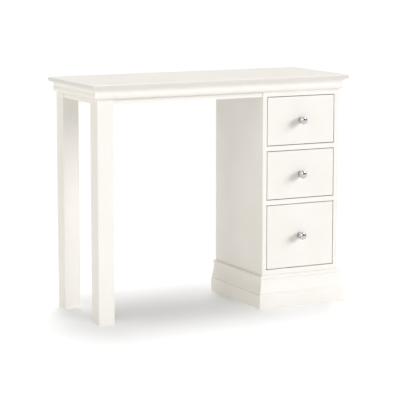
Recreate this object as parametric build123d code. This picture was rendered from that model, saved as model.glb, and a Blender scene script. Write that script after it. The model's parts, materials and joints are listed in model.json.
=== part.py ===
from build123d import *
import os

# Miniature dressing table at 1:12, in millimetres.
# +X is to the sitter's right, +Y towards the wall and +Z up. The origin is on the floor, in the
# middle of the box that holds the whole table, knobs included.
# Boards that meet are cut to each other: a tenon, tongue or housing is made by running one board
# into the next and cutting the second one by the first.

# ---- Top -------------------------------------------------------------------------------------
TOP_LENGTH = 79.0
TOP_DEPTH = 31.4
TABLE_HEIGHT = 65.5
TOP_THICKNESS = 1.3
TOP_OVERHANG = 2.1  # past the legs and the pedestal, at the front and both ends
TOP_OVERHANG_BACK = 0.7
TOP_UPPER_ROUND = 0.45
TOP_LOWER_ROUND = 0.6

# ---- Cornice under the top, measured out from the face of the legs ------------------------------
CORNICE_HEIGHT = 2.75
CORNICE_REACH = 1.5  # at the top of the cove
CORNICE_COVE_HEIGHT = 1.2
CORNICE_COVE_RADIUS = 0.9
CORNICE_OVOLO_REACH = 0.75  # where the ovolo starts, under the cove
CORNICE_OVOLO_RADIUS = 1.1
CORNICE_FOOT_REACH = 0.42

# ---- Legs and aprons ---------------------------------------------------------------------------
LEG_SIZE = 4.75
LEG_ROUND = 0.2
APRON_BOTTOM = 60.0
APRON_THICKNESS = 1.6
APRON_RECESS = 0.3  # behind the face of the legs
TENON_LENGTH = 0.9
TENON_SHOULDER = 0.4
TENON_DROP = 0.9  # from the top and bottom edges of the apron

# ---- Pedestal ----------------------------------------------------------------------------------
PEDESTAL_WIDTH = 24.46
PEDESTAL_SIDE = 1.3
PEDESTAL_BACK = 1.0
PEDESTAL_EDGE_ROUND = 0.12
RAIL_DEPTH = 1.6
DIVIDER_HEIGHT = 1.38
SMALL_OPENING = 13.95
LARGE_OPENING = 18.5
SHELF_THICKNESS = 0.8
SHELF_HOUSING = 0.4  # how far a shelf runs into each pedestal side
KICKER_WIDTH = 1.6
KICKER_HEIGHT = 1.0

# ---- Plinth, measured out from the face of the pedestal -------------------------------------------
SKIRTING_HEIGHT = 4.1
SKIRTING_REACH = 1.54
SKIRTING_ROUND = 0.27
PLINTH_HEIGHT = 9.31
PLINTH_FOOT_REACH = 1.26
PLINTH_STEP_TOP = 4.38  # an upright step just above the skirting
PLINTH_LIP_TOP = 4.66  # the step leans out to the foot of the sweep
PLINTH_SWEEP_REACH = 1.32
PLINTH_WAIST_REACH = 0.62
PLINTH_WAIST_Z = 8.35
PLINTH_BEAD_REACH = 0.87
PLINTH_BEAD_Z = 8.85
PLINTH_LEDGE = 0.42  # the bead rolls back to this reach at the top

# ---- Drawers -----------------------------------------------------------------------------------
DRAWER_GAP = 0.2  # around each drawer front
RUNNING_CLEARANCE = 0.06  # between the drawer sides and what they slide on
DRAWER_LENGTH = 26.4
DRAWER_FRONT = 1.6
DRAWER_FRONT_LAP = 0.8  # the sides are let into the back of the front by this much
DRAWER_FRONT_ROUND = 0.12
DRAWER_SIDE = 0.9
DRAWER_SIDE_DROP = 1.2  # the box is this much lower than its front
DRAWER_BOTTOM = 0.6
DRAWER_BOTTOM_LIFT = 0.6
DRAWER_GROOVE = 0.4

# ---- Knobs -------------------------------------------------------------------------------------
KNOB_BALL_RADIUS = 1.13
KNOB_BALL_CENTRE = 1.5  # in front of the drawer front
KNOB_NECK_RADIUS = 0.45
KNOB_FOOT_RADIUS = 0.95
KNOB_FOOT_HEIGHT = 0.2
KNOB_FLARE_RADIUS = 0.5  # of the hollow between the foot and the neck
KNOB_SHANK_RADIUS = 0.4
KNOB_SHANK_PROUD = 0.3  # behind the drawer front, inside the drawer
KNOB_HOLE_CLEARANCE = 0.02

# ---- Places that follow from the sizes ------------------------------------------------------------
KNOB_REACH = KNOB_BALL_CENTRE + KNOB_BALL_RADIUS
OVERALL_DEPTH = TOP_DEPTH + KNOB_REACH - TOP_OVERHANG
FRONT = KNOB_REACH - OVERALL_DEPTH / 2
BACK = OVERALL_DEPTH / 2 - TOP_OVERHANG_BACK
RIGHT = TOP_LENGTH / 2 - TOP_OVERHANG
LEFT = -RIGHT
UNDER_TOP = TABLE_HEIGHT - TOP_THICKNESS
LEG_INNER_X = LEFT + LEG_SIZE
PEDESTAL_LEFT = RIGHT - PEDESTAL_WIDTH
INSIDE_LEFT = PEDESTAL_LEFT + PEDESTAL_SIDE
INSIDE_RIGHT = RIGHT - PEDESTAL_SIDE
INSIDE_BACK = BACK - PEDESTAL_BACK
RAIL_BACK = FRONT + RAIL_DEPTH
UPPER_SHELF_TOP = APRON_BOTTOM - SMALL_OPENING
LOWER_SHELF_TOP = UPPER_SHELF_TOP - DIVIDER_HEIGHT - SMALL_OPENING
FLOOR_BOARD_TOP = LOWER_SHELF_TOP - DIVIDER_HEIGHT - LARGE_OPENING
OPENINGS = {
    "top": (UPPER_SHELF_TOP, APRON_BOTTOM),
    "middle": (LOWER_SHELF_TOP, UPPER_SHELF_TOP - DIVIDER_HEIGHT),
    "bottom": (FLOOR_BOARD_TOP, LOWER_SHELF_TOP - DIVIDER_HEIGHT),
}


def board(x0, x1, y0, y1, z0, z1):
    """A straight board between two opposite corners."""
    middle = Pos((x0 + x1) / 2, (y0 + y1) / 2, (z0 + z1) / 2)
    return middle * Box(x1 - x0, y1 - y0, z1 - z0)


def outer_edges(shape, axis, end):
    """The edges at one end of a shape along an axis: 0 for its low end, -1 for its high end."""
    return shape.edges().group_by(axis)[end]


# ---- Mouldings: straight strips, mitred at the two front corners ------------------------------------

def cornice_section():
    """A cove under the top, then an ovolo that tucks back below."""
    tip = (CORNICE_REACH, UNDER_TOP)
    arris = (CORNICE_OVOLO_REACH, UNDER_TOP - CORNICE_COVE_HEIGHT)
    foot = (CORNICE_FOOT_REACH, UNDER_TOP - CORNICE_HEIGHT)
    return Face(Wire([
        Line((0, UNDER_TOP), tip),
        RadiusArc(tip, arris, -CORNICE_COVE_RADIUS),
        RadiusArc(arris, foot, CORNICE_OVOLO_RADIUS),
        Line(foot, (0, UNDER_TOP - CORNICE_HEIGHT)),
        Line((0, UNDER_TOP - CORNICE_HEIGHT), (0, UNDER_TOP)),
    ]))


def skirting_section():
    """A plain board whose upper front edge is rounded."""
    round_foot = (SKIRTING_REACH, SKIRTING_HEIGHT - SKIRTING_ROUND)
    round_top = (SKIRTING_REACH - SKIRTING_ROUND, SKIRTING_HEIGHT)
    return Face(Wire([
        Line((0, 0), (SKIRTING_REACH, 0)),
        Line((SKIRTING_REACH, 0), round_foot),
        RadiusArc(round_foot, round_top, -SKIRTING_ROUND),
        Line(round_top, (0, SKIRTING_HEIGHT)),
        Line((0, SKIRTING_HEIGHT), (0, 0)),
    ]))


def plinth_section():
    """A step, a long hollow sweep up to a waist, and a bead that rolls back at the top."""
    foot = (PLINTH_FOOT_REACH, SKIRTING_HEIGHT)
    step = (PLINTH_FOOT_REACH, PLINTH_STEP_TOP)
    sweep_foot = (PLINTH_SWEEP_REACH, PLINTH_LIP_TOP)
    waist = (PLINTH_WAIST_REACH, PLINTH_WAIST_Z)
    bead_mid = (PLINTH_BEAD_REACH, PLINTH_BEAD_Z)
    bead_top = (PLINTH_LEDGE, PLINTH_HEIGHT)
    return Face(Wire([
        Line((0, SKIRTING_HEIGHT), foot),
        Line(foot, step),
        Line(step, sweep_foot),
        TangentArc(waist, sweep_foot, tangent=(0, -1)),
        ThreePointArc(waist, bead_mid, bead_top),
        Line(bead_top, (0, PLINTH_HEIGHT)),
        Line((0, PLINTH_HEIGHT), (0, SKIRTING_HEIGHT)),
    ]))


def mitred_strips(section, left, right):
    """One section run along the front and both ends, as three strips with mitred corners."""
    reach = section.bounding_box().max.X
    runs = {
        "front": ((right + reach, FRONT, 0), (0, -1, 0), right - left + 2 * reach),
        "left": ((left, FRONT - reach, 0), (-1, 0, 0), BACK - FRONT + reach),
        "right": ((right, BACK, 0), (1, 0, 0), BACK - FRONT + reach),
    }
    strips = {}
    for place, (start, outward, length) in runs.items():
        along = Vector(outward).cross(Vector(0, 0, 1))
        plane = Plane(origin=start, x_dir=outward, z_dir=along)
        strips[place] = extrude(plane.location * section, amount=length, dir=along)
    left_mitre = Plane(origin=(left, FRONT, 0), z_dir=(1, -1, 0))
    right_mitre = Plane(origin=(right, FRONT, 0), z_dir=(-1, -1, 0))
    for mitre, end in ((left_mitre, "left"), (right_mitre, "right")):
        strips["front"] = split(strips["front"], bisect_by=mitre, keep=Keep.TOP)
        strips[end] = split(strips[end], bisect_by=mitre, keep=Keep.BOTTOM)
    return strips


# ---- Top, legs and aprons ------------------------------------------------------------------------

def top_board():
    """The flat top, with all its edges rounded."""
    half_length = TOP_LENGTH / 2
    front, back = FRONT - TOP_OVERHANG, BACK + TOP_OVERHANG_BACK
    slab = board(-half_length, half_length, front, back, UNDER_TOP, TABLE_HEIGHT)
    slab = fillet(outer_edges(slab, Axis.Z, -1), TOP_UPPER_ROUND)
    return fillet(outer_edges(slab, Axis.Z, 0), TOP_LOWER_ROUND)


def apron(x0, x1, y0, y1, runs_along_x):
    """An apron with a stub tenon at each end."""
    rail = board(x0, x1, y0, y1, APRON_BOTTOM, UNDER_TOP)
    grow_x = TENON_LENGTH if runs_along_x else -TENON_SHOULDER
    grow_y = -TENON_SHOULDER if runs_along_x else TENON_LENGTH
    tenons = board(
        x0 - grow_x, x1 + grow_x, y0 - grow_y, y1 + grow_y, APRON_BOTTOM + TENON_DROP, UNDER_TOP - TENON_DROP
    )
    return rail + tenons


def aprons():
    """The rails that tie the legs to each other and to the pedestal."""
    front_face = FRONT + APRON_RECESS
    back_face = BACK - APRON_RECESS
    left_face = LEFT + APRON_RECESS
    return {
        "front_apron": apron(LEG_INNER_X, PEDESTAL_LEFT, front_face, front_face + APRON_THICKNESS, True),
        "back_apron": apron(LEG_INNER_X, PEDESTAL_LEFT, back_face - APRON_THICKNESS, back_face, True),
        "side_apron": apron(left_face, left_face + APRON_THICKNESS, FRONT + LEG_SIZE, BACK - LEG_SIZE, False),
    }


def leg(y0, joined):
    """A square leg with softened corners, mortised for the aprons that join it."""
    post = board(LEFT, LEG_INNER_X, y0, y0 + LEG_SIZE, 0, UNDER_TOP)
    post = fillet(post.edges().filter_by(Axis.Z), LEG_ROUND)
    for rail in joined:
        post -= rail
    return post


# ---- Pedestal ------------------------------------------------------------------------------------

def rails():
    """The four rails between the pedestal sides, flush with their front edges."""
    heights = {
        "top_rail": (APRON_BOTTOM, UNDER_TOP),
        "upper_divider_rail": (UPPER_SHELF_TOP - DIVIDER_HEIGHT, UPPER_SHELF_TOP),
        "lower_divider_rail": (LOWER_SHELF_TOP - DIVIDER_HEIGHT, LOWER_SHELF_TOP),
        "foot_rail": (0, FLOOR_BOARD_TOP),
    }
    return {
        name: board(INSIDE_LEFT, INSIDE_RIGHT, FRONT, RAIL_BACK, low, high)
        for name, (low, high) in heights.items()
    }


def shelves():
    """The boards that the drawers slide on, housed in the pedestal sides."""
    tops = {"upper_shelf": UPPER_SHELF_TOP, "lower_shelf": LOWER_SHELF_TOP, "floor_board": FLOOR_BOARD_TOP}
    return {
        name: board(
            INSIDE_LEFT - SHELF_HOUSING, INSIDE_RIGHT + SHELF_HOUSING,
            RAIL_BACK, INSIDE_BACK, top - SHELF_THICKNESS, top
        )
        for name, top in tops.items()
    }


def kickers():
    """Two strips above the top drawer that stop it tipping as it is drawn out."""
    low, high = APRON_BOTTOM, APRON_BOTTOM + KICKER_HEIGHT
    return {
        "left_kicker": board(INSIDE_LEFT, INSIDE_LEFT + KICKER_WIDTH, RAIL_BACK, INSIDE_BACK, low, high),
        "right_kicker": board(INSIDE_RIGHT - KICKER_WIDTH, INSIDE_RIGHT, RAIL_BACK, INSIDE_BACK, low, high),
    }


def pedestal_side(x0, outer_end, joined):
    """One side of the pedestal, cut for the boards that are let into it."""
    panel = board(x0, x0 + PEDESTAL_SIDE, FRONT, BACK, 0, UNDER_TOP)
    front_corner = outer_edges(panel, Axis.X, outer_end).filter_by(Axis.Z).sort_by(Axis.Y)[0]
    panel = fillet(front_corner, PEDESTAL_EDGE_ROUND)
    for mate in joined:
        panel -= mate
    return panel


def pedestal_back():
    """The back panel, between the two sides."""
    return board(INSIDE_LEFT, INSIDE_RIGHT, INSIDE_BACK, BACK, 0, UNDER_TOP)


# ---- Drawers -------------------------------------------------------------------------------------

def knob(x, z):
    """A turned ball knob: a flared foot, a neck, a ball, and a shank through the drawer front."""
    foot_top = (KNOB_FOOT_RADIUS, KNOB_FOOT_HEIGHT)
    neck_height = KNOB_BALL_CENTRE - (KNOB_BALL_RADIUS**2 - KNOB_NECK_RADIUS**2) ** 0.5
    neck = (KNOB_NECK_RADIUS, neck_height)
    tip = (0, KNOB_REACH)
    shank_end = -DRAWER_FRONT - KNOB_SHANK_PROUD
    section = Face(Wire([
        Line((0, shank_end), (KNOB_SHANK_RADIUS, shank_end)),
        Line((KNOB_SHANK_RADIUS, shank_end), (KNOB_SHANK_RADIUS, 0)),
        Line((KNOB_SHANK_RADIUS, 0), (KNOB_FOOT_RADIUS, 0)),
        Line((KNOB_FOOT_RADIUS, 0), foot_top),
        RadiusArc(foot_top, neck, KNOB_FLARE_RADIUS),
        ThreePointArc(neck, (KNOB_BALL_RADIUS, KNOB_BALL_CENTRE), tip),
        Line(tip, (0, shank_end)),
    ]))
    plane = Plane(origin=(x, FRONT, z), x_dir=(-1, 0, 0), z_dir=(0, 0, 1))
    return revolve(plane.location * section, Axis((x, FRONT, z), (0, -1, 0)))


def drawer(low, high):
    """The five boards and the knob of one drawer, for an opening from low to high."""
    x0, x1 = INSIDE_LEFT + DRAWER_GAP, INSIDE_RIGHT - DRAWER_GAP
    box_low, box_high = low + RUNNING_CLEARANCE, high - DRAWER_GAP - DRAWER_SIDE_DROP
    box_front, box_back = FRONT + DRAWER_FRONT - DRAWER_FRONT_LAP, FRONT + DRAWER_LENGTH
    front_back = FRONT + DRAWER_FRONT
    bottom_low = box_low + DRAWER_BOTTOM_LIFT
    bottom_top = bottom_low + DRAWER_BOTTOM
    knob_x, knob_z = (x0 + x1) / 2, (low + high) / 2

    bottom = board(
        x0 + DRAWER_SIDE - DRAWER_GROOVE, x1 - DRAWER_SIDE + DRAWER_GROOVE,
        front_back - DRAWER_GROOVE, box_back, bottom_low, bottom_top
    )
    left = board(x0, x0 + DRAWER_SIDE, box_front, box_back, box_low, box_high) - bottom
    right = board(x1 - DRAWER_SIDE, x1, box_front, box_back, box_low, box_high) - bottom
    back = board(x0 + DRAWER_SIDE, x1 - DRAWER_SIDE, box_back - DRAWER_SIDE, box_back, bottom_top, box_high)

    front = board(x0, x1, FRONT, front_back, low + DRAWER_GAP, high - DRAWER_GAP)
    front = fillet(outer_edges(front, Axis.Y, 0), DRAWER_FRONT_ROUND)
    drilled = Plane(origin=(knob_x, FRONT, knob_z), z_dir=(0, 1, 0))
    hole = drilled.location * Cylinder(
        KNOB_SHANK_RADIUS + KNOB_HOLE_CLEARANCE, DRAWER_FRONT, align=(Align.CENTER, Align.CENTER, Align.MIN)
    )
    for mate in (left, right, bottom, hole):
        front -= mate
    return {
        "front": front, "left_side": left, "right_side": right,
        "back": back, "bottom": bottom, "knob": knob(knob_x, knob_z),
    }


# ---- The whole table -----------------------------------------------------------------------------

def all_nodes():
    """Every piece of the table, by name."""
    nodes = {"top_board": top_board()}
    for place, strip in mitred_strips(cornice_section(), LEFT, RIGHT).items():
        nodes["cornice_" + place] = strip
    joined = aprons()
    nodes.update(joined)
    nodes["front_leg"] = leg(FRONT, [joined["front_apron"], joined["side_apron"]])
    nodes["back_leg"] = leg(BACK - LEG_SIZE, [joined["back_apron"], joined["side_apron"]])

    boards = shelves()
    left_mates = [*boards.values(), joined["front_apron"], joined["back_apron"]]
    nodes["pedestal_left_side"] = pedestal_side(PEDESTAL_LEFT, 0, left_mates)
    nodes["pedestal_right_side"] = pedestal_side(INSIDE_RIGHT, -1, boards.values())
    nodes["pedestal_back"] = pedestal_back()
    nodes.update(rails())
    nodes.update(boards)
    nodes.update(kickers())
    for place, strip in mitred_strips(skirting_section(), PEDESTAL_LEFT, RIGHT).items():
        nodes["skirting_" + place] = strip
    for place, strip in mitred_strips(plinth_section(), PEDESTAL_LEFT, RIGHT).items():
        nodes["plinth_moulding_" + place] = strip
    for place, (low, high) in OPENINGS.items():
        for name, piece in drawer(low, high).items():
            nodes[place + "_drawer_" + name] = piece
    return nodes


os.makedirs("parts", exist_ok=True)
for name, piece in all_nodes().items():
    export_step(piece, f"parts/{name}.step")
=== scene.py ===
import json
import math

import bmesh
import bpy
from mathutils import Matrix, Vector


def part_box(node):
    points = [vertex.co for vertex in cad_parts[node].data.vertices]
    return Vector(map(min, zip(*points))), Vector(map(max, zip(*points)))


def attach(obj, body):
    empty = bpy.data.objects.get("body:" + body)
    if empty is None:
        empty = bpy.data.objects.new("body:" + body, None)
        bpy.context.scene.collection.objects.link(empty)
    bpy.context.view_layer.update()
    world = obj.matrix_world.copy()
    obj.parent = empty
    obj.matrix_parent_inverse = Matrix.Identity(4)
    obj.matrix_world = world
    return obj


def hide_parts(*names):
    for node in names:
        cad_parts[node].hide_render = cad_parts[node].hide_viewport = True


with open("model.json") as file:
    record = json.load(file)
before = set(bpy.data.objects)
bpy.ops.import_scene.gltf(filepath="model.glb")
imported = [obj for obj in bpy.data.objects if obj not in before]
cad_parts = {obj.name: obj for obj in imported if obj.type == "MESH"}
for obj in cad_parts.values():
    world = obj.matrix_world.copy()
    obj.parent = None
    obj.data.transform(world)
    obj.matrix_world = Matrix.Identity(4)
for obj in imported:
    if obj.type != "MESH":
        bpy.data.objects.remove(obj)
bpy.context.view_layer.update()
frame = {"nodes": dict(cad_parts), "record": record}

nodes = frame["nodes"]

# Lengths are in metres, but for the lens. Texture scales are per metre.

# ---- Camera ------------------------------------------------------------------------------------
VIEW_YAW = math.radians(26.74)  # the camera stands in front and to the left, looking this far right
VIEW_PITCH = math.radians(8.75)  # and this far down
VIEW_DISTANCE = 0.5094
VIEW_LENS = 161.2  # focal length in millimetres
VIEW_CLIP = (0.01, 50.0)
AIM_HEIGHT = 0.0301  # the camera and the softboxes point here, above the origin

# ---- All textures ------------------------------------------------------------------------------
NOISE_RANGE = (0.3, 0.7)  # where a noise passes from the deep tone to the light one

# ---- Satin paint -------------------------------------------------------------------------------
PAINT_LIGHT = (0.830, 0.803, 0.755)
PAINT_DEEP = (0.808, 0.779, 0.725)
PAINT_CLOUD_SCALE = 70.0  # the slow drift between the two tones
PAINT_FIBRE_SCALE = 2600.0
PAINT_FIBRE_STRETCH = 14.0  # how much longer than wide the raised fibres are
PAINT_FIBRE_DEPTH = 0.00004
PAINT_PEEL_SCALE = 1500.0  # the orange-peel of sprayed paint
PAINT_PEEL_DEPTH = 0.00002
PAINT_ROUGHNESS = (0.50, 0.62)
PAINT_SPECULAR = 0.25

# ---- Bare wood ---------------------------------------------------------------------------------
LIME_LIGHT = (0.66, 0.50, 0.33)
LIME_DARK = (0.52, 0.37, 0.23)
PLY_LIGHT = (0.72, 0.57, 0.40)
PLY_DARK = (0.60, 0.45, 0.29)
WOOD_STRETCH = 18.0  # how much longer than wide the growth lines and fibres are
WOOD_RING_SCALE = 700.0
WOOD_RING_RANGE = (0.35, 0.62)  # narrower than for the other noises, for clearer lines
WOOD_RING_DEPTH = 0.00001
WOOD_FIBRE_SCALE = 4200.0
WOOD_FIBRE_DEPTH = 0.00002
WOOD_SANDING_SCALE = 900.0
WOOD_ROUGHNESS = (0.62, 0.78)

# ---- Knob metal --------------------------------------------------------------------------------
METAL_LIGHT = (0.63, 0.64, 0.65)
METAL_DEEP = (0.57, 0.58, 0.59)
METAL_HAZE_SCALE = 1800.0
METAL_HAZE_DEPTH = 0.000001
METAL_ROUGHNESS = (0.05, 0.11)

# ---- Knob shape --------------------------------------------------------------------------------
KNOB_BALL_RADIUS = 0.00113
KNOB_BALL_CENTRE = 0.0015  # in front of the drawer front
KNOB_BALL_STEPS = 36
KNOB_NECK_RADIUS = 0.00045
KNOB_NECK_STEPS = 10
KNOB_FOOT_RADIUS = 0.00095
KNOB_FOOT_HEIGHT = 0.0002
KNOB_FOOT_ROUND = 0.00008
KNOB_FOOT_STEPS = 6
KNOB_SHANK_RADIUS = 0.0004
KNOB_SHANK_LENGTH = 0.0019
KNOB_SIDES = 96
KNOB_CREASE = math.radians(50.0)  # edges sharper than this stay sharp

# ---- Floor and surroundings --------------------------------------------------------------------
FLOOR_LIGHT = (0.96, 0.96, 0.96)
FLOOR_DEEP = (0.95, 0.95, 0.95)
FLOOR_CLOUD_SCALE = 6.0
FLOOR_ROUGHNESS = 0.9
FLOOR_GLOW_COLOUR = (0.97, 0.985, 1.0)
FLOOR_GLOW = 0.105  # keeps the shadow under the table pale
FLOOR_RADIUS = 6.0
FLOOR_SIDES = 96
SKY = [  # colours by height: 0 is the horizon and 1 is straight above
    (0.08, (1.0, 1.0, 1.0)),
    (0.16, (0.19, 0.19, 0.185)),
    (0.60, (0.16, 0.16, 0.16)),
]

# ---- Lights ------------------------------------------------------------------------------------
# A light's brightness is that of a white surface which faces it.
OVERHEAD_COUNT = 5
OVERHEAD_WIDTH = math.radians(17.0)
OVERHEAD_FRONT = math.radians(-14.0)  # how far the first light leans from straight above
OVERHEAD_BACK = math.radians(21.0)  # and the last
OVERHEAD_BRIGHTNESS = 0.80

WHITE = (1.0, 1.0, 1.0)
COOL_WHITE = (0.96, 0.96, 1.0)
FAINT_COOL_WHITE = (0.965, 0.965, 1.0)
WARM_WHITE = (1.0, 0.955, 0.885)
ROSE_WHITE = (1.0, 0.985, 0.985)

# Name, direction from the table, distance, size, brightness, colour and the group that it lights.
SOFTBOXES = [
    ("key", (0.55, -1.0, 0.64), 4.0, 2.67, 0.76, COOL_WHITE, "carcass"),
    ("drawer_key", (2.5, -1.5, 1.0), 2.4, 1.152, 1.03, FAINT_COOL_WHITE, "drawers"),
    ("fill", (-0.9, -0.12, 0.42), 1.6, 1.05, 0.386, WARM_WHITE, "below_top"),
    ("board_key", (-0.45, -1.0, 1.31), 2.4, 4.0, 0.97, ROSE_WHITE, "top"),
    ("top_light", (0.15, 0.15, 1.0), 1.4, 0.8, 0.645, WHITE, "table"),
    ("knob_left_glint", (-0.69, -0.32, 0.64), 1.6, 1.4, 0.52, WHITE, "knobs"),
    ("knob_right_glint", (0.56, -0.14, 0.82), 1.4, 0.95, 0.55, WHITE, "knobs"),
]


# ---- Shader helpers ----------------------------------------------------------------------------

def new_material(name):
    """A material with only a Principled shader. Returns the material, its node tree and the shader."""
    material = bpy.data.materials.new(name)
    material.use_nodes = True
    tree = material.node_tree
    tree.nodes.clear()
    output = tree.nodes.new("ShaderNodeOutputMaterial")
    shader = tree.nodes.new("ShaderNodeBsdfPrincipled")
    tree.links.new(shader.outputs["BSDF"], output.inputs["Surface"])
    return material, tree, shader


def coordinates(tree, along=0, stretch=1.0):
    """Object coordinates squeezed along one axis, so that a texture on them runs long that way."""
    where = tree.nodes.new("ShaderNodeTexCoord")
    mapping = tree.nodes.new("ShaderNodeMapping")
    scale = [1.0, 1.0, 1.0]
    scale[along] = 1.0 / stretch
    mapping.inputs["Scale"].default_value = scale
    tree.links.new(where.outputs["Object"], mapping.inputs["Vector"])
    return mapping.outputs["Vector"]


def noise(tree, vector, scale, detail=2.0, roughness=0.5):
    """A noise value from 0 to 1 for each point."""
    node = tree.nodes.new("ShaderNodeTexNoise")
    node.inputs["Scale"].default_value = scale
    node.inputs["Detail"].default_value = detail
    node.inputs["Roughness"].default_value = roughness
    tree.links.new(vector, node.inputs["Vector"])
    return node.outputs["Fac"]


def ramp(tree, value, stops):
    """A colour ramp through (position, colour) stops."""
    node = tree.nodes.new("ShaderNodeValToRGB")
    elements = node.color_ramp.elements
    while len(elements) < len(stops):
        elements.new(0.5)
    for element, (position, colour) in zip(elements, stops):
        element.position = position
        element.color = (*colour, 1.0)
    tree.links.new(value, node.inputs["Fac"])
    return node.outputs["Color"]


def two_tones(tree, value, deep, light, limits):
    """A colour that passes from deep to light as a texture value goes from one limit to the other."""
    start, end = limits
    return ramp(tree, value, [(start, deep), (end, light)])


def spread(tree, value, low, high):
    """A 0 to 1 texture value mapped to a range."""
    node = tree.nodes.new("ShaderNodeMapRange")
    node.inputs["To Min"].default_value = low
    node.inputs["To Max"].default_value = high
    tree.links.new(value, node.inputs["Value"])
    return node.outputs["Result"]


def bump(tree, shader, heights):
    """Bumps one over another: each is (texture value, depth)."""
    normal = None
    for value, depth in heights:
        node = tree.nodes.new("ShaderNodeBump")
        node.inputs["Strength"].default_value = 1.0
        node.inputs["Distance"].default_value = depth
        tree.links.new(value, node.inputs["Height"])
        if normal is not None:
            tree.links.new(normal, node.inputs["Normal"])
        normal = node.outputs["Normal"]
    tree.links.new(normal, shader.inputs["Normal"])


# ---- Materials ---------------------------------------------------------------------------------

def painted_wood(name, along):
    """Sprayed satin off-white paint over fine-grained wood whose grain runs along one axis."""
    material, tree, shader = new_material(name)
    plain = coordinates(tree)
    grained = coordinates(tree, along, PAINT_FIBRE_STRETCH)
    cloud = noise(tree, plain, PAINT_CLOUD_SCALE, detail=3.0)
    tone = two_tones(tree, cloud, PAINT_DEEP, PAINT_LIGHT, NOISE_RANGE)
    tree.links.new(tone, shader.inputs["Base Color"])
    fibre = noise(tree, grained, PAINT_FIBRE_SCALE, detail=3.0, roughness=0.6)
    peel = noise(tree, plain, PAINT_PEEL_SCALE)
    tree.links.new(spread(tree, peel, *PAINT_ROUGHNESS), shader.inputs["Roughness"])
    shader.inputs["Specular IOR Level"].default_value = PAINT_SPECULAR
    bump(tree, shader, [(fibre, PAINT_FIBRE_DEPTH), (peel, PAINT_PEEL_DEPTH)])
    return material


def bare_wood(name, along, dark, light):
    """Sanded pale wood with fine growth lines along one axis."""
    material, tree, shader = new_material(name)
    grained = coordinates(tree, along, WOOD_STRETCH)
    rings = noise(tree, grained, WOOD_RING_SCALE, detail=4.0, roughness=0.65)
    fibre = noise(tree, grained, WOOD_FIBRE_SCALE)
    sanding = noise(tree, coordinates(tree), WOOD_SANDING_SCALE)
    tone = two_tones(tree, rings, dark, light, WOOD_RING_RANGE)
    tree.links.new(tone, shader.inputs["Base Color"])
    tree.links.new(spread(tree, sanding, *WOOD_ROUGHNESS), shader.inputs["Roughness"])
    bump(tree, shader, [(fibre, WOOD_FIBRE_DEPTH), (rings, WOOD_RING_DEPTH)])
    return material


def polished_metal(name):
    """Bright plated metal with a faint polishing haze."""
    material, tree, shader = new_material(name)
    haze = noise(tree, coordinates(tree), METAL_HAZE_SCALE, detail=4.0, roughness=0.6)
    tone = two_tones(tree, haze, METAL_DEEP, METAL_LIGHT, NOISE_RANGE)
    tree.links.new(tone, shader.inputs["Base Color"])
    tree.links.new(spread(tree, haze, *METAL_ROUGHNESS), shader.inputs["Roughness"])
    shader.inputs["Metallic"].default_value = 1.0
    bump(tree, shader, [(haze, METAL_HAZE_DEPTH)])
    return material


def floor_material():
    """A plain pale studio floor, with the faintest unevenness and a slight glow."""
    material, tree, shader = new_material("studio_floor")
    cloud = noise(tree, coordinates(tree), FLOOR_CLOUD_SCALE)
    tone = two_tones(tree, cloud, FLOOR_DEEP, FLOOR_LIGHT, NOISE_RANGE)
    tree.links.new(tone, shader.inputs["Base Color"])
    shader.inputs["Roughness"].default_value = FLOOR_ROUGHNESS
    shader.inputs["Specular IOR Level"].default_value = 0.0
    shader.inputs["Emission Color"].default_value = (*FLOOR_GLOW_COLOUR, 1.0)
    shader.inputs["Emission Strength"].default_value = FLOOR_GLOW
    return material


AXES = {"x": 0, "y": 1, "z": 2}
PAINT = {}
LIME = {}
PLY = {}
for axis, along in AXES.items():
    PAINT[axis] = painted_wood(f"paint_{axis}", along)
    LIME[axis] = bare_wood(f"limewood_{axis}", along, LIME_DARK, LIME_LIGHT)
    PLY[axis] = bare_wood(f"birch_ply_{axis}", along, PLY_DARK, PLY_LIGHT)
METAL = polished_metal("knob_metal")


def grain_axis(node):
    """The letter of a board's longest side, along which its grain runs."""
    low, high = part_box(node)
    size = high - low
    return max(AXES, key=lambda axis: size[AXES[axis]])


def dress_cad_nodes():
    """Gives each CAD node the material of its slot, with the grain along the board."""
    slots = {part["node"]: part["material_slot"] for part in frame["record"]["subparts"]}
    kinds = {"painted_wood": PAINT, "bare_wood": LIME, "bare_board": PLY}
    for name, thing in nodes.items():
        kind = kinds.get(slots[name])
        material = kind[grain_axis(name)] if kind else METAL
        thing.data.materials.clear()
        thing.data.materials.append(material)


# ---- Knobs -------------------------------------------------------------------------------------

def arc(centre, radius, start, end, steps):
    """Points (radius, height) along an arc of a turned outline. Angles are in degrees from its axis."""
    points = []
    for step in range(steps + 1):
        angle = math.radians(start + (end - start) * step / steps)
        points.append((centre[0] + radius * math.sin(angle), centre[1] + radius * math.cos(angle)))
    return points


def hollow(foot, neck, steps):
    """Points of a quarter-ellipse hollow from a foot to a neck, without the neck's own point."""
    wide = foot[0] - neck[0]
    tall = neck[1] - foot[1]
    points = []
    for step in range(steps):
        angle = math.pi / 2 * step / steps
        points.append((foot[0] - wide * math.sin(angle), neck[1] - tall * math.cos(angle)))
    return points


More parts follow.
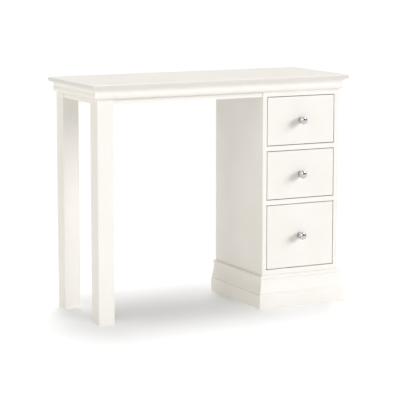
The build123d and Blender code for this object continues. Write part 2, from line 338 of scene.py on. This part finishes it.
def knob_outline():
    """Half the outline of a knob, from the end of its shank to the front of its ball."""
    bead_centre = (KNOB_FOOT_RADIUS - KNOB_FOOT_ROUND, KNOB_FOOT_HEIGHT - KNOB_FOOT_ROUND)
    hollow_foot = (KNOB_FOOT_RADIUS - 2 * KNOB_FOOT_ROUND, KNOB_FOOT_HEIGHT)
    neck_angle = 180.0 - math.degrees(math.asin(KNOB_NECK_RADIUS / KNOB_BALL_RADIUS))
    ball = arc((0.0, KNOB_BALL_CENTRE), KNOB_BALL_RADIUS, neck_angle, 0.0, KNOB_BALL_STEPS)
    ball[-1] = (0.0, KNOB_BALL_CENTRE + KNOB_BALL_RADIUS)
    return [
        (0.0, -KNOB_SHANK_LENGTH),
        (KNOB_SHANK_RADIUS, -KNOB_SHANK_LENGTH),
        (KNOB_SHANK_RADIUS, 0.0),
        (KNOB_FOOT_RADIUS, 0.0),
        *arc(bead_centre, KNOB_FOOT_ROUND, 90.0, 0.0, KNOB_FOOT_STEPS),
        *hollow(hollow_foot, ball[0], KNOB_NECK_STEPS),
        *ball,
    ]


def ring(shape, centre, radius, height):
    """The vertices of one ring of a turned piece, or a single one where the outline meets its axis."""
    count = KNOB_SIDES if radius > 0 else 1
    vertices = []
    for number in range(count):
        angle = 2 * math.pi * number / count
        x = centre[0] + radius * math.cos(angle)
        z = centre[2] + radius * math.sin(angle)
        vertices.append(shape.verts.new((x, centre[1] - height, z)))
    return vertices


def turned(name, outline, centre, material):
    """A turned piece whose axis runs towards -Y from its centre point, which has height 0."""
    shape = bmesh.new()
    rings = [ring(shape, centre, radius, height) for radius, height in outline]
    for low, high in zip(rings, rings[1:]):
        for number in range(KNOB_SIDES):
            after = (number + 1) % KNOB_SIDES
            low_pair = [low[number % len(low)], low[after % len(low)]]
            high_pair = [high[after % len(high)], high[number % len(high)]]
            shape.faces.new(list(dict.fromkeys(low_pair + high_pair)))
    bmesh.ops.recalc_face_normals(shape, faces=shape.faces)
    mesh = bpy.data.meshes.new(name)
    shape.to_mesh(mesh)
    shape.free()
    mesh.shade_smooth()
    mesh.set_sharp_from_angle(angle=KNOB_CREASE)
    mesh.materials.append(material)
    piece = bpy.data.objects.new(name, mesh)
    bpy.context.scene.collection.objects.link(piece)
    return piece


def knobs():
    """A smooth turned knob in place of each CAD one."""
    made = []
    for drawer in ("top", "middle", "bottom"):
        low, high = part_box(f"{drawer}_drawer_knob")
        centre = (low + high) / 2
        face = low.y + KNOB_BALL_CENTRE + KNOB_BALL_RADIUS
        knob = turned(f"{drawer}_knob", knob_outline(), (centre.x, face, centre.z), METAL)
        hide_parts(f"{drawer}_drawer_knob")
        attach(knob, f"{drawer}_drawer")
        made.append(knob)
    return made


# ---- Stage -------------------------------------------------------------------------------------

def stage_floor():
    """A wide flat floor."""
    bpy.ops.mesh.primitive_circle_add(vertices=FLOOR_SIDES, radius=FLOOR_RADIUS, fill_type="NGON")
    floor = bpy.context.object
    floor.name = "studio_floor"
    floor.data.materials.append(floor_material())
    return floor


def linking(name, things, state):
    """A collection to link lights to. INCLUDE lights only the things, EXCLUDE everything but them."""
    collection = bpy.data.collections.new(name)
    for thing in things:
        collection.objects.link(thing)
    for entry in collection.collection_objects:
        entry.light_linking.link_state = state
    return collection


def light_groups(floor, turned_knobs):
    """The collections that the lights are linked to, by the name of what they light."""
    board = nodes["top_board"]
    drawer_boards = []
    for name, thing in nodes.items():
        if "_drawer_" in name and not name.endswith("knob"):
            drawer_boards.append(thing)
    stage_and_knobs = [floor, *turned_knobs]
    return {
        "floor": linking("floor_only", [floor], "INCLUDE"),
        "knobs": linking("knobs_only", turned_knobs, "INCLUDE"),
        "drawers": linking("drawers_only", drawer_boards, "INCLUDE"),
        "top": linking("top_only", [board], "INCLUDE"),
        "table": linking("table_only", stage_and_knobs, "EXCLUDE"),
        "below_top": linking("below_top", [*stage_and_knobs, board], "EXCLUDE"),
        "carcass": linking("carcass_only", [*stage_and_knobs, *drawer_boards, board], "EXCLUDE"),
    }


def new_lamp(name, kind, direction, lit):
    """A lamp that shines from a direction, and only on what it is linked to."""
    lamp = bpy.data.objects.new(name, bpy.data.lights.new(name, kind))
    bpy.context.scene.collection.objects.link(lamp)
    lamp.rotation_euler = direction.to_track_quat("Z", "Y").to_euler()
    lamp.light_linking.receiver_collection = lit
    return lamp


def softbox(name, towards, distance, size, brightness, colour, lit):
    """A square area light that looks at the table from a direction."""
    direction = Vector(towards).normalized()
    lamp = new_lamp(name, "AREA", direction, lit)
    lamp.location = Vector((0, 0, AIM_HEIGHT)) + direction * distance
    lamp.data.shape = "SQUARE"
    lamp.data.size = size
    lamp.data.energy = brightness * (math.pi * distance) ** 2
    lamp.data.color = colour


def overhead_lights(lit):
    """A row of even lights above, from front to back, that together give the soft shadow below."""
    for number in range(OVERHEAD_COUNT):
        share = number / (OVERHEAD_COUNT - 1)
        lean = math.tan(OVERHEAD_FRONT + (OVERHEAD_BACK - OVERHEAD_FRONT) * share)
        direction = Vector((math.sin(VIEW_YAW) * lean, math.cos(VIEW_YAW) * lean, 1.0))
        lamp = new_lamp(f"overhead_{number}", "SUN", direction, lit)
        lamp.data.angle = OVERHEAD_WIDTH
        lamp.data.energy = OVERHEAD_BRIGHTNESS * math.pi / OVERHEAD_COUNT


def studio_world():
    """Surroundings that are white near the horizon and grey higher up."""
    world = bpy.data.worlds.new("studio")
    bpy.context.scene.world = world
    world.use_nodes = True
    tree = world.node_tree
    where = tree.nodes.new("ShaderNodeTexCoord")
    split = tree.nodes.new("ShaderNodeSeparateXYZ")
    tree.links.new(where.outputs["Generated"], split.inputs["Vector"])
    colour = ramp(tree, split.outputs["Z"], SKY)
    tree.links.new(colour, tree.nodes["Background"].inputs["Color"])


def photo_camera():
    """The camera at the photograph's viewing angle."""
    data = bpy.data.cameras.new("camera")
    data.lens = VIEW_LENS
    data.clip_start, data.clip_end = VIEW_CLIP
    camera = bpy.data.objects.new("camera", data)
    bpy.context.scene.collection.objects.link(camera)
    forward = Vector((
        math.sin(VIEW_YAW) * math.cos(VIEW_PITCH),
        math.cos(VIEW_YAW) * math.cos(VIEW_PITCH),
        -math.sin(VIEW_PITCH),
    ))
    camera.location = Vector((0, 0, AIM_HEIGHT)) - forward * VIEW_DISTANCE
    camera.rotation_euler = (math.pi / 2 - VIEW_PITCH, 0, -VIEW_YAW)
    bpy.context.scene.camera = camera


# ---- The scene ---------------------------------------------------------------------------------

dress_cad_nodes()
turned_knobs = knobs()
floor = stage_floor()
studio_world()
groups = light_groups(floor, turned_knobs)
overhead_lights(groups["floor"])
for name, towards, distance, size, brightness, colour, group in SOFTBOXES:
    softbox(name, towards, distance, size, brightness, colour, groups[group])
photo_camera()
bpy.context.scene.view_settings.view_transform = "Standard"
